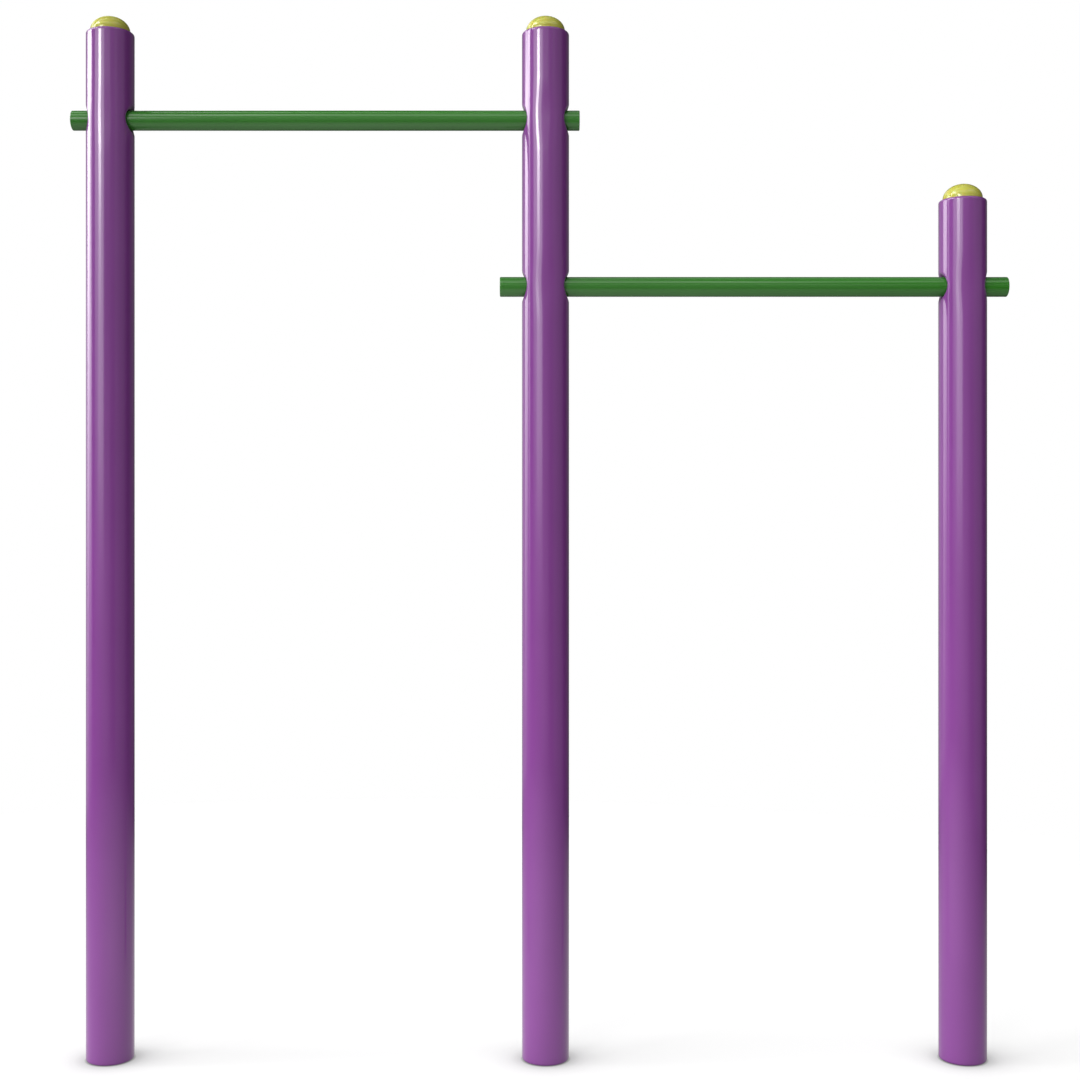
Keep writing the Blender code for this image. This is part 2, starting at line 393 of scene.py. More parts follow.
def copy(piece: Piece, name: str, shift: Vector) -> Piece:
    """Copies a piece to another place, with a mesh of its own.

    Args:
        piece: The piece to copy.
        name: The copy's name.
        shift: How far the copy stands from the first.

    Returns:
        The copy.
    """
    twin = piece.copy()
    twin.data = piece.data.copy()
    twin.name = name
    twin.data.name = name
    twin.data.transform(Matrix.Translation(shift))
    bpy.context.scene.collection.objects.link(twin)
    return twin


def arc(centre: Point, radius: float, start: float, end: float, steps: int) -> list[Point]:
    """Points in even steps along a circular arc, from one angle in degrees to another."""
    angles = [math.radians(start + (end - start) * i / steps) for i in range(steps + 1)]
    return [(centre[0] + radius * math.cos(a), centre[1] + radius * math.sin(a)) for a in angles]


def hexagon_corner(flats: float) -> float:
    """How far a hexagon's corners are from its middle, given its width across flats."""
    return flats / 2 / math.cos(math.pi / 6)


class Graph:
    """A node tree, with short ways to fill it."""

    def __init__(self, tree: bpy.types.NodeTree) -> None:
        """Takes the tree that the nodes go into."""
        self.tree = tree

    def add(self, kind: str, terms: Terms | None = None, **settings: object) -> bpy.types.Node:
        """Adds a node.

        Args:
            kind: Blender's name for it, after the word ShaderNode.
            terms: The numbers or sockets that go into its own sockets, by their names or places.
            **settings: The node's own settings.

        Returns:
            The node.
        """
        node = self.tree.nodes.new("ShaderNode" + kind)
        for name, value in settings.items():
            setattr(node, name, value)
        for name, term in (terms or {}).items():
            if isinstance(term, Socket):
                self.tree.links.new(term, node.inputs[name])
            else:
                node.inputs[name].default_value = term
        return node

    def math(self, operation: str, *terms: object) -> Socket:
        """One step of arithmetic on numbers or sockets."""
        return self.add("Math", dict(enumerate(terms)), operation=operation).outputs["Value"]

    def mix(self, share: Socket, first: Socket, second: Socket) -> Socket:
        """Mixes two shaders, by the share that the second one has."""
        return self.add("MixShader", {"Fac": share, 1: first, 2: second}).outputs["Shader"]

    def remap(self, value: Socket, low: float, high: float, to_low: float, to_high: float,
              kind: str = "LINEAR") -> Socket:
        """Carries one range of a value over to another, held at both ends."""
        ends = {"Value": value, "From Min": low, "From Max": high, "To Min": to_low, "To Max": to_high}
        return self.add("MapRange", ends, interpolation_type=kind).outputs["Result"]

    def graded(self, value: Socket, places: tuple[float, ...], strengths: tuple[float, ...]) -> Socket:
        """A strength that runs straight from each given place to the next.

        Args:
            value: Where along the places it is.
            places: The places, in rising order.
            strengths: The strength at each place.

        Returns:
            The strength there.
        """
        peak = max(strengths)
        run = places[-1] - places[0]
        along = self.remap(value, places[0], places[-1], 0.0, 1.0)
        ramp = self.add("ValToRGB", {"Fac": along})
        stops = ramp.color_ramp.elements
        for place, strength in zip(places, strengths):
            at = (place - places[0]) / run
            stop = stops[0] if place == places[0] else stops[-1] if place == places[-1] else stops.new(at)
            stop.color = (strength / peak, strength / peak, strength / peak, 1.0)
        return self.math("MULTIPLY", ramp.outputs["Color"], peak)


class Nodes(Graph):
    """A material's node tree, on the object's own coordinates."""

    def __init__(self, name: str) -> None:
        """Starts a material with a bare Principled shader.

        Args:
            name: The material's name.
        """
        self.material = bpy.data.materials.new(name)
        self.material.use_nodes = True
        super().__init__(self.material.node_tree)
        self.shader = self.tree.nodes["Principled BSDF"]
        self.spot = self.add("TexCoord").outputs["Object"]

    def noise(self, scale: float, detail: float) -> Socket:
        """A noise with a number of features in a metre and of finer layers, around a half."""
        return self.add("TexNoise", {"Vector": self.spot, "Scale": scale, "Detail": detail}).outputs["Fac"]

    def distance(self, point: Spot) -> Socket:
        """How far a place is from a point, in metres."""
        return self.add("VectorMath", {0: self.spot, 1: point}, operation="DISTANCE").outputs["Value"]

    def blend(self, share: Socket, first: Colour, second: Colour) -> Socket:
        """Mixes two colours, by the share that the second one has."""
        # The node has sockets of the same names for numbers and vectors before those for colours.
        terms = {0: share, 6: (*first, 1.0), 7: (*second, 1.0)}
        return self.add("Mix", terms, data_type="RGBA").outputs[2]

    def feed(self, name: str, value: Socket) -> None:
        """Links a pattern to one of the shader's sockets."""
        self.tree.links.new(value, self.shader.inputs[name])


@dataclass(frozen=True)
class Finish:
    """A colour that drifts between two shades, cloudy gloss and a fine grain.

    The patterns' sizes are features in a metre, and their ranges are the part of the noise that counts.
    The grain's depth is in metres.
    """

    drift: ClassVar[float]
    drift_detail: ClassVar[float] = 3.0
    drift_range: ClassVar[Point] = (0.35, 0.65)
    smear: ClassVar[float]
    smear_detail: ClassVar[float] = 3.0
    smear_range: ClassVar[Point] = (0.3, 0.7)
    smear_depth: ClassVar[float] = 0.03
    grain: ClassVar[float]
    grain_detail: ClassVar[float] = 2.0
    slot: Slot
    colour: Colour
    deep: Colour
    roughness: float
    grain_depth: float

    def settings(self) -> dict[str, float]:
        """The shader's even values, by its sockets' names."""
        raise NotImplementedError

    def material(self) -> bpy.types.Material:
        """Makes the finish a material.

        Returns:
            The material, named for its slot.
        """
        nodes = Nodes(self.slot.value)
        cloud = nodes.remap(nodes.noise(self.drift, self.drift_detail), *self.drift_range, 0.0, 1.0)
        nodes.feed("Base Color", nodes.blend(cloud, self.colour, self.deep))
        smear = nodes.noise(self.smear, self.smear_detail)
        glossy, dull = self.roughness - self.smear_depth, self.roughness + self.smear_depth
        nodes.feed("Roughness", nodes.remap(smear, *self.smear_range, glossy, dull))
        grain = nodes.noise(self.grain, self.grain_detail)
        bump = nodes.add("Bump", {"Height": grain, "Distance": self.grain_depth})
        nodes.feed("Normal", bump.outputs["Normal"])
        for name, value in self.settings().items():
            nodes.shader.inputs[name].default_value = value
        return nodes.material


@dataclass(frozen=True)
class PowderCoat(Finish):
    """Glossy powder coat on steel: a clear, slightly orange-peeled skin over the colour."""

    drift: ClassVar[float] = 3.5
    smear: ClassVar[float] = 60.0
    grain: ClassVar[float] = 420.0
    grain_detail: ClassVar[float] = 1.5
    blur: float

    def settings(self) -> dict[str, float]:
        """Paint under a clear skin."""
        return {"IOR": 1.5, "Specular IOR Level": 0.125, "Coat Weight": 1.0, "Coat Roughness": self.blur}


@dataclass(frozen=True)
class MouldedPlastic(Finish):
    """Moulded plastic: an even colour with a faint mould texture, and light that sinks in."""

    drift: ClassVar[float] = 25.0
    smear: ClassVar[float] = 90.0
    grain: ClassVar[float] = 700.0
    glow: float

    def settings(self) -> dict[str, float]:
        """Plastic that the light sinks into, as much as its glow says."""
        return {"IOR": 1.5, "Subsurface Weight": self.glow, "Subsurface Scale": 0.004}


@dataclass(frozen=True)
class ZincPlate(Finish):
    """Bright zinc plate on turned steel, with fine turning marks and a cloudy bloom."""

    drift: ClassVar[float] = 180.0
    drift_detail: ClassVar[float] = 4.0
    drift_range: ClassVar[Point] = (0.35, 0.7)
    smear: ClassVar[float] = 350.0
    smear_depth: ClassVar[float] = 0.09
    grain: ClassVar[float] = 2500.0

    def settings(self) -> dict[str, float]:
        """Bare metal."""
        return {"Metallic": 1.0}


class Finishes:
    """Every finish of the frame, made once."""

    def __init__(self) -> None:
        """Makes the materials and keeps them by slot."""
        kinds = (
            PowderCoat(Slot.POST, (0.217, 0.054, 0.265), (0.206, 0.051, 0.252), 0.32, 0.000006, 0.08),
            PowderCoat(Slot.BAR, (0.033, 0.190, 0.018), (0.031, 0.180, 0.017), 0.34, 0.0000015, 0.05),
            MouldedPlastic(Slot.CAP, (0.497, 0.488, 0.079), (0.467, 0.459, 0.074), 0.13, 0.000004, 0.12),
            MouldedPlastic(Slot.PLUG, (0.022, 0.120, 0.014), (0.018, 0.100, 0.012), 0.42, 0.000004, 0.0),
            ZincPlate(Slot.ZINC, (0.62, 0.63, 0.64), (0.50, 0.51, 0.53), 0.35, 0.000008),
        )
        self.by_slot = {kind.slot: kind.material() for kind in kinds}

    def dress(self, piece: Piece, slot: Slot, node: str) -> None:
        """Gives a finished piece its material and its body, and hides the frame's node that it replaces.

        Args:
            piece: The finished piece.
            slot: The material slot.
            node: The frame's node that the piece replaces.
        """
        piece.data.materials.clear()
        piece.data.materials.append(self.by_slot[slot])
        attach(piece, BODY)
        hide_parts(node)
        log.info("%s: %d faces, %s", piece.name, len(piece.data.polygons), slot.value)


@dataclass(frozen=True)
class Crossing:
    """Where a bar passes through a post: its height, and how deep the press flattened the front there."""

    height: float
    flat: float


@dataclass
class Post:
    """A post tube with rolled-in foot and rim, pressed in round each bar that passes through it."""

    place: Place
    crossings: tuple[Crossing, ...]
    columns: int = 128
    wall: float = 0.004
    edge_round: float = 0.006
    edge_steps: int = 8
    margin: float = 0.001
    lip_bore: float = 0.0455
    mouth: float = 0.023
    blend: float = 0.0145
    collar_end: float = 0.028
    patch_columns: int = 20
    patch_height: float = 0.088
    patch_rows: int = 32
    fan_steps: int = 4
    blend_steps: int = 14
    flat_half_width: float = 0.038
    flat_reach: float = 0.090
    flat_rows: int = 12
    drill_radius: float = 0.0063
    drill_sides: int = 48

    def __post_init__(self) -> None:
        """Reads the post's place and size from the frame."""
        low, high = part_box(self.node)
        self.x = (low.x + high.x) / 2
        self.radius = (high.x - low.x) / 2
        self.height = high.z

    @property
    def node(self) -> str:
        """The frame's node that this post stands for."""
        return f"post_{self.place.value}"

    def bearing(self, point: Vector, side: Side) -> float:
        """How far round the post a point is from one side's mouths, in radians."""
        return abs(math.atan2(point.y, side.value * (point.x - self.x)))

    def build(self) -> Piece:
        """Shapes the tube, its rolled edges, its mouths, its wall and its screw holes.

        Returns:
            The finished tube.
        """
        foot, rim = Vector((self.x, 0.0, 0.0)), Vector((self.x, 0.0, self.height))
        tube = cylinder(self.node + "_tube", self.radius, foot, rim, self.columns)
        open_mesh(tube)
        self.roll_edges(tube)
        for crossing in self.crossings:
            self.cut_rows(crossing.height)
            for side in Side:
                self.press_mouth(tube, crossing.height, side)
            self.flatten(tube, crossing)
        close_mesh()
        apply(tube, "SOLIDIFY", thickness=self.wall, offset=-1.0, use_even_offset=True)
        for crossing in self.crossings:
            self.drill(tube, crossing.height)
        smooth(tube)
        return tube

    def roll_edges(self, tube: Piece) -> None:
        """Opens both ends to the lip's bore and rolls their outer edges over.

        Args:
            tube: The post's tube, open for editing.
        """
        pick_ends(tube, UP)
        bpy.ops.mesh.inset(thickness=self.radius - self.lip_bore)
        bpy.ops.mesh.delete(type="FACE")
        pick_rims(tube, Vector((self.x, 0.0, 0.0)), UP, self.radius)
        bpy.ops.mesh.bevel(offset=self.edge_round, segments=self.edge_steps, affect="EDGES")
        cut(UP, self.edge_round + self.margin, self.height - self.edge_round - self.margin)

    def cut_rows(self, crossing: float) -> None:
        """Cuts the open tube into level rows: close ones where mouths will go, wider ones beyond.

        Args:
            crossing: The height of the bar's axis.
        """
        half = self.patch_height / 2
        rises = [half * (2 * row / self.patch_rows - 1) for row in range(self.patch_rows + 1)]
        for row in range(1, self.flat_rows + 1):
            beyond = half + (self.flat_reach - half) * row / self.flat_rows
            rises += [beyond, -beyond]
        cut(UP, *(crossing + rise for rise in rises))

    def flatten(self, tube: Piece, crossing: Crossing) -> None:
        """Eases the front in a little between a bar's two mouths, as the press leaves it.

        Args:
            tube: The post's tube, open for editing.
            crossing: Where the bar passes, and how deep the flat is.
        """
        def swell(share: float) -> float:
            """A smooth hill: 1 in the middle and 0 from its edge on."""
            return math.cos(math.pi / 2 * min(abs(share), 1.0)) ** 2

        def rule(point: Vector) -> Vector:
            """Puts a point on the flattened front.

            Args:
                point: A point of the round wall.

            Returns:
                Its new place.
            """
            across = swell((point.x - self.x) / self.flat_half_width)
            along = swell((point.z - crossing.height) / self.flat_reach)
            front = min(max((-point.y - self.mouth) / (self.patch_height / 2 - self.mouth), 0.0), 1.0)
            return point + Vector((0.0, crossing.flat * across * along * front, 0.0))

        bpy.ops.mesh.select_all(action="SELECT")
        place_picked(tube, rule)

    def press_mouth(self, tube: Piece, crossing: float, side: Side) -> None:
        """Replaces a patch of wall by rings that dish inwards to the bar's collar.

        Args:
            tube: The post's tube, open for editing.
            crossing: The height of the bar's axis.
            side: The way the mouth faces.
        """
        reach = math.tau * self.patch_columns / self.columns

        def in_patch(face: bmesh.types.BMFace) -> bool:
            """Whether a face of the wall makes way for the mouth."""
            middle = face.calc_center_median()
            return abs(middle.z - crossing) < self.patch_height / 2 and self.bearing(middle, side) < reach

        def on_edge(edge: bmesh.types.BMEdge) -> bool:
            """Says whether an edge bounds the hole that the patch left.

            Args:
                edge: An edge of the tube.

            Returns:
                True for the open edges round this side's hole.
            """
            middle = (edge.verts[0].co + edge.verts[1].co) / 2
            near = abs(middle.z - crossing) < self.patch_height / 2 + GAP
            return edge.is_boundary and near and side.value * (middle.x - self.x) > 0

        def ring(out: float, drop: float, share: float = 1.0) -> Rule:
            """A rule that draws each point of a ring in towards the bar.

            Args:
                out: The ring's distance from the bar's axis.
                drop: How far it lies under the post's round face.
                share: How much of the way to that distance a point goes.

            Returns:
                The rule, which keeps each point's direction round the bar.
            """
            def rule(point: Vector) -> Vector:
                """Puts a point on the ring.

                Args:
                    point: A point of the ring before.

                Returns:
                    Its new place.
                """
                rise = point.z - crossing
                far = math.hypot(point.y, rise)
                scale = (far + (out - far) * share) / far
                y, z = point.y * scale, rise * scale
                depth = math.sqrt(self.radius ** 2 - y ** 2) - drop
                return Vector((self.x + side.value * depth, y, crossing + z))
            return rule

        pick(tube, Element.FACES, in_patch)
        bpy.ops.mesh.delete(type="FACE")
        pick(tube, Element.EDGES, on_edge)
        brim = self.mouth + self.blend
        for left in range(self.fan_steps, 0, -1):
            extrude_picked(tube, ring(brim, 0.0, 1 / left))
        for step in range(1, self.blend_steps + 1):
            turn = math.pi / 2 * step / self.blend_steps
            out = self.mouth + self.blend * (1 - math.sin(turn))
            extrude_picked(tube, ring(out, self.blend * (1 - math.cos(turn))))
        end = self.x + side.value * self.collar_end
        extrude_picked(tube, lambda point: Vector((end, point.y, point.z)))

    def drill(self, tube: Piece, crossing: float) -> None:
        """Drills the locking screw's hole through the back wall.

        Args:
            tube: The post's tube, with its wall.
            crossing: The height of the bar's axis.
        """
        start = Vector((self.x, self.radius - 2.5 * self.wall, crossing))
        end = Vector((self.x, self.radius + self.wall, crossing))
        tool = cylinder("drill", self.drill_radius, start, end, self.drill_sides)
        combine(tube, tool, Cut.OUTSIDE)


@dataclass
class Foot:
    """The plate that closes a post's foot."""

    post: Post
    thickness: float = 0.010
    hole: float = 0.0085
    sides: int = 128
    edge: float = 0.0006
    edge_steps: int = 3

    def build_plate(self) -> Piece:
        """Shapes the round plate with its hole and eased edges.

        Returns:
            The finished plate.
        """
        start, end = Vector((self.post.x, 0.0, 0.0)), Vector((self.post.x, 0.0, self.thickness))
        name = f"foot_plate_{self.post.place.value}_disc"
        plate = cylinder(name, self.post.lip_bore - GAP, start, end, self.sides)
        bore_through(plate, start, UP, self.hole)
        apply(plate, "BEVEL", width=self.edge, segments=self.edge_steps, limit_method="ANGLE",
                    angle_limit=SHARP_ANGLE)
        smooth(plate)
        return plate


@dataclass
class DomeCap:
    """A flattened domed cap on a short neck, with a skirt whose bead snaps under the post's lip."""

    post: Post
    radius: float = 0.0447
    rise: float = 0.0335
    base: float = 0.0036
    neck_drop: float = 0.0015
    wall: float = 0.003
    bead: float = 0.0012
    bead_height: float = 0.005
    bead_steps: int = 8
    skirt: float = 0.026
    skirt_ease: float = 0.001
    sides: int = 128
    rings: int = 64

    def build(self) -> Piece:
        """Shapes the cap from a flattened sphere, cut off at its widest ring.

        Returns:
            The finished cap.
        """
        rim = self.post.height
        clear_selection()
        bpy.ops.mesh.primitive_uv_sphere_add(
            segments=self.sides, ring_count=self.rings, radius=self.radius,
            location=(self.post.x, 0.0, rim + self.base), scale=(1.0, 1.0, self.rise / self.radius))
        cap = name_new(f"dome_cap_{self.post.place.value}_shell")
        open_mesh(cap)
        cut(UP, rim + self.base, clear_inner=True)
        pick_boundary(cap)
        neck = self.post.lip_bore - GAP
        lip = self.post.wall + GAP
        steps = [(self.radius, -self.neck_drop), (neck, -self.neck_drop - GAP), (neck, -lip)]
        steps += [(neck + self.bead * out, -lip - self.bead_height * (1 - up) / 2)
                  for out, up in arc((0.0, 0.0), 1.0, 90, -90, self.bead_steps)[1:]]
        steps += [(neck, self.skirt_ease - self.skirt), (neck - self.skirt_ease, -self.skirt)]
        for radius, height in steps:
            extrude_picked(cap, self.ring(radius, rim + height))
        face_outwards()
        close_mesh()
        apply(cap, "SOLIDIFY", thickness=self.wall, offset=-1.0, use_even_offset=True)
        smooth(cap)
        return cap

    def ring(self, radius: float, height: float) -> Rule:
        """A rule that puts points on a ring round the post's axis.

        Args:
            radius: The ring's radius.
            height: Its height over the ground.

        Returns:
            The rule, which keeps each point's direction from the axis.
        """
        def rule(point: Vector) -> Vector:
            """The point's place on the ring."""
            out = Vector((point.x - self.post.x, point.y)).normalized() * radius
            return Vector((self.post.x + out.x, out.y, height))
        return rule


@dataclass
class Crossbar:
    """A bar tube with rounded ends and the ribbed plugs that close them.

    A rib's crest and foot lie outwards of its sharp edge by their shares of the ribs' pitch.
    """

    level: Level
    sides: int = 96
    wall: float = 0.003
    edge_round: float = 0.0018
    edge_steps: int = 6
    margin: float = 0.001
    crown: float = 0.0012
    crown_steps: int = 10
    head: float = 0.003
    rib_pitch: float = 0.0045
    rib_depth: float = 0.001
    rib_crest: float = 0.15
    rib_foot: float = 0.75
    plug_length: float = 0.018
    plug_wall: float = 0.002
    plug_ease: float = 0.0005

    def __post_init__(self) -> None:
        """Reads the bar's place and size from the frame."""
        low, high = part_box(self.node)
        self.left, self.right = low.x, high.x
        self.radius = (high.z - low.z) / 2
        self.height = (high.z + low.z) / 2
        self.bore = self.radius - self.wall

    @property
    def node(self) -> str:
        """The frame's node that this bar stands for."""
        return f"crossbar_{self.level.value}"

    def end(self, side: Side) -> Vector:
        """The middle of one of the bar's ends."""
        return Vector((self.right if side is Side.RIGHT else self.left, 0.0, self.height))

    def build_tube(self) -> Piece:
        """Shapes the tube: bored right through, its outer edges rounded over.

        Returns:
            The finished tube.
        """
        start = self.end(Side.LEFT)
        tube = cylinder(self.node + "_tube", self.radius, start, self.end(Side.RIGHT), self.sides)
        bore_through(tube, start, ALONG, self.bore)
        open_mesh(tube)
        pick_rims(tube, start, ALONG, self.radius)
        bpy.ops.mesh.bevel(offset=self.edge_round, segments=self.edge_steps, affect="EDGES")
        inset = self.edge_round + self.margin
        cut(ALONG, self.left + inset, self.right - inset)
        close_mesh()
        smooth(tube)
        return tube

    def build_plug(self, side: Side) -> Piece:
        """Turns the plug in one end: a low crown outside, ribs inside the bore.

        Args:
            side: The end that the plug closes.

        Returns:
            The finished plug.
        """
        reach = self.bore - GAP
        root = reach - self.rib_depth
        inner = root - self.plug_wall
        floor = -self.head - self.plug_wall
        swell = (reach ** 2 + self.crown ** 2) / (2 * self.crown)
        span = math.degrees(math.asin(reach / swell))
        profile = arc((0.0, -swell), swell, 90, 90 - span, self.crown_steps)
        profile[0] = (0.0, 0.0)
        profile.append((reach, -self.head))
        edge = -self.head
        while edge - self.rib_pitch > -self.plug_length + self.rib_pitch / 2:
            edge -= self.rib_pitch
            crest, foot = edge + self.rib_pitch * self.rib_crest, edge + self.rib_pitch * self.rib_foot
            profile += [(root, foot), (reach, crest), (reach, edge)]
        profile += [(root, edge), (root, self.plug_ease - self.plug_length),
                    (root - self.plug_ease, -self.plug_length)]
        profile += [(inner, -self.plug_length), (inner, floor), (0.0, floor)]
        turn = Matrix.Rotation(side.value * math.pi / 2, 4, "Y")
        name = f"bar_plug_{self.level.value}_{side.name.lower()}_crown"
        plug = turned(name, profile, Matrix.Translation(self.end(side)) @ turn, self.sides)
        smooth(plug)
        return plug


@dataclass
class Thread:
    """A helical thread on a rod that stands on +Z. Its depth is a share of its pitch."""

    radius: float
    pitch: float
    depth: float = 0.6134
    steps: int = 32

    def rod(self, name: str, length: float) -> Piece:
        """A closed threaded rod.

        Args:
            name: The piece's name.
            length: The rod's length up from the origin.

        Returns:
            The rod, standing on the origin.
        """
        root = self.radius - self.depth * self.pitch
        flat = self.pitch / 8
        low = -2 * self.pitch
        middle = low + self.pitch / 2
        rod = outline(name, [
            (root, low), (root, low + 2 * flat), (self.radius, middle + flat / 2),
            (self.radius, middle + 3 * flat / 2), (root, low + self.pitch)])
        close_mesh()
        turns = math.ceil(length / self.pitch) + 4
        apply(rod, "SCREW", screw_offset=self.pitch, iterations=turns, steps=self.steps,
                    render_steps=self.steps, use_merge_vertices=True, merge_threshold=MERGE)
        open_mesh(rod)
        face_outwards()
        cut(UP, 0.0, use_fill=True, clear_inner=True)
        cut(UP, length, use_fill=True, clear_outer=True)
        face_outwards()
        close_mesh()
        return rod


@dataclass
class HexNut:
    """A threaded hexagon nut, chamfered so that its faces are a share of its flats wide."""

    flats: float
    height: float
    thread: Thread
    face: float = 0.97
    chamfer_angle: float = math.radians(30)
    chamfer_sides: int = 72

    def build(self, name: str, place: Matrix) -> Piece:
        """Shapes the nut and carries it to its place.

        Args:
            name: The piece's name.
            place: Carries the nut, which stands on +Z, to its place.

        Returns:
            The finished nut.
        """
        corner = hexagon_corner(self.flats)
        nut = cylinder(name, corner, ORIGIN, UP * self.height, 6)
        reach = self.flats / 2 * self.face
        fall = (corner - reach) * math.tan(self.chamfer_angle)
        chamfer = [(0.0, 0.0), (reach, 0.0), (corner, fall), (corner, self.height - fall),
                   (reach, self.height), (0.0, self.height)]
        shape = turned("chamfer", chamfer, Matrix.Identity(4), self.chamfer_sides)
        combine(nut, shape, Cut.INSIDE)
        tap = self.thread.rod("tap", self.height + 4 * self.thread.pitch)
        tap.data.transform(Matrix.Translation(UP * -2 * self.thread.pitch))
        combine(nut, tap, Cut.OUTSIDE)
        nut.data.transform(place)
        smooth(nut)
        return nut


@dataclass
class LockScrew:
    """A threaded socket screw, sunk in a post's back wall, that pinches the bar."""

    length: float
    thread: Thread
    socket: float = 0.006
    socket_depth: float = 0.006
    chamfer: float = 0.001
    chamfer_sides: int = 72

    def build(self, name: str, place: Matrix) -> Piece:
        """Shapes the screw and carries it to its place.

        Args:
            name: The piece's name.
            place: Carries the screw, whose tip is at the origin and socket up +Z, to its place.

        Returns:
            The finished screw.
        """
        screw = self.thread.rod(name, self.length)
        reach = self.thread.radius
        tip = 2 * self.chamfer
        profile = [(0.0, 0.0), (reach - tip, 0.0), (reach, tip), (reach, self.length - self.chamfer),
                   (reach - self.chamfer, self.length), (0.0, self.length)]
        blank = turned("blank", profile, Matrix.Identity(4), self.chamfer_sides)
        combine(screw, blank, Cut.INSIDE)
        floor, top = UP * (self.length - self.socket_depth), UP * (self.length + self.chamfer)
        broach = cylinder("broach", hexagon_corner(self.socket), floor, top, 6)
        combine(screw, broach, Cut.OUTSIDE)
        screw.data.transform(place)
        smooth(screw)
        return screw


@dataclass(frozen=True)
class Softbox:
    """A softbox far from the frame, with its place and spread in degrees.

    Its bearing is 0 straight in front of the frame and grows towards the right. It is brightest at its
    height over the horizon, and dims over its rise below that and over its fall above it.
    """

    softness: ClassVar[float] = 1.5
    bearing: float
    half_width: float
    fade: float
    height: float
    rise: float
    fall: float
    strength: float

    def strength_at(self, elevation: float) -> float:
        """Gives the softbox's strength at an elevation.

        Args:
            elevation: Degrees over the horizon.

        Returns:
            The strength there, at the softbox's own bearing.
        """
        off = elevation - self.height
        spread = self.rise if off < 0.0 else self.fall
        return self.strength * math.exp(-abs(off / spread) ** self.softness)


class World(Graph):
    """The studio round the frame: plain white behind it, and softboxes for its light.

    A softbox's strength is worked out at each of the levels, in degrees, and runs straight between them.
    """

    levels: ClassVar[tuple[float, ...]] = (
        -14.0, -7.0, -3.0, 0.0, 4.0, 8.0, 11.5, 14.5, 16.5, 19.0, 23.0, 30.0, 40.0, 52.0, 66.0, 85.0)

    def __init__(self) -> None:
        """Starts a world whose light comes from a direction's bearing and elevation."""
        world = bpy.data.worlds.new("studio")
        bpy.context.scene.world = world
        world.use_nodes = True
        super().__init__(world.node_tree)
        self.tree.nodes.clear()
        split = self.add("SeparateXYZ", {"Vector": self.add("TexCoord").outputs["Generated"]})
        forward = self.math("MULTIPLY", split.outputs["Y"], -1.0)
        self.bearing = self.math("DEGREES", self.math("ARCTAN2", split.outputs["X"], forward))
        self.elevation = self.math("DEGREES", self.math("ARCSINE", split.outputs["Z"]))

    def shine(self, box: Softbox) -> Socket:
        """Works out one softbox's light.

        Args:
            box: The softbox.

        Returns:
            Its strength in the direction looked at.
        """
        off = self.math("WRAP", self.math("SUBTRACT", self.bearing, box.bearing), 180.0, -180.0)
        reach = box.half_width + box.fade
        side = self.remap(self.math("ABSOLUTE", off), box.half_width, reach, 1.0, 0.0, "SMOOTHSTEP")
        strengths = tuple(box.strength_at(level) for level in self.levels)
        return self.math("MULTIPLY", side, self.graded(self.elevation, self.levels, strengths))

    def build(self, boxes: Iterable[Softbox]) -> None:
        """Sums the softboxes and shows plain white to the camera.

        Args:
            boxes: All the softboxes.
        """
        total: object = 0.0
        for box in boxes:
            total = self.math("ADD", self.shine(box), total)
        light = self.add("Background", {"Color": WHITE, "Strength": total}).outputs["Background"]
        plain = self.add("Background", {"Color": WHITE}).outputs["Background"]
        seen = self.add("LightPath").outputs["Is Camera Ray"]
        self.add("OutputWorld", {"Surface": self.mix(seen, light, plain)})


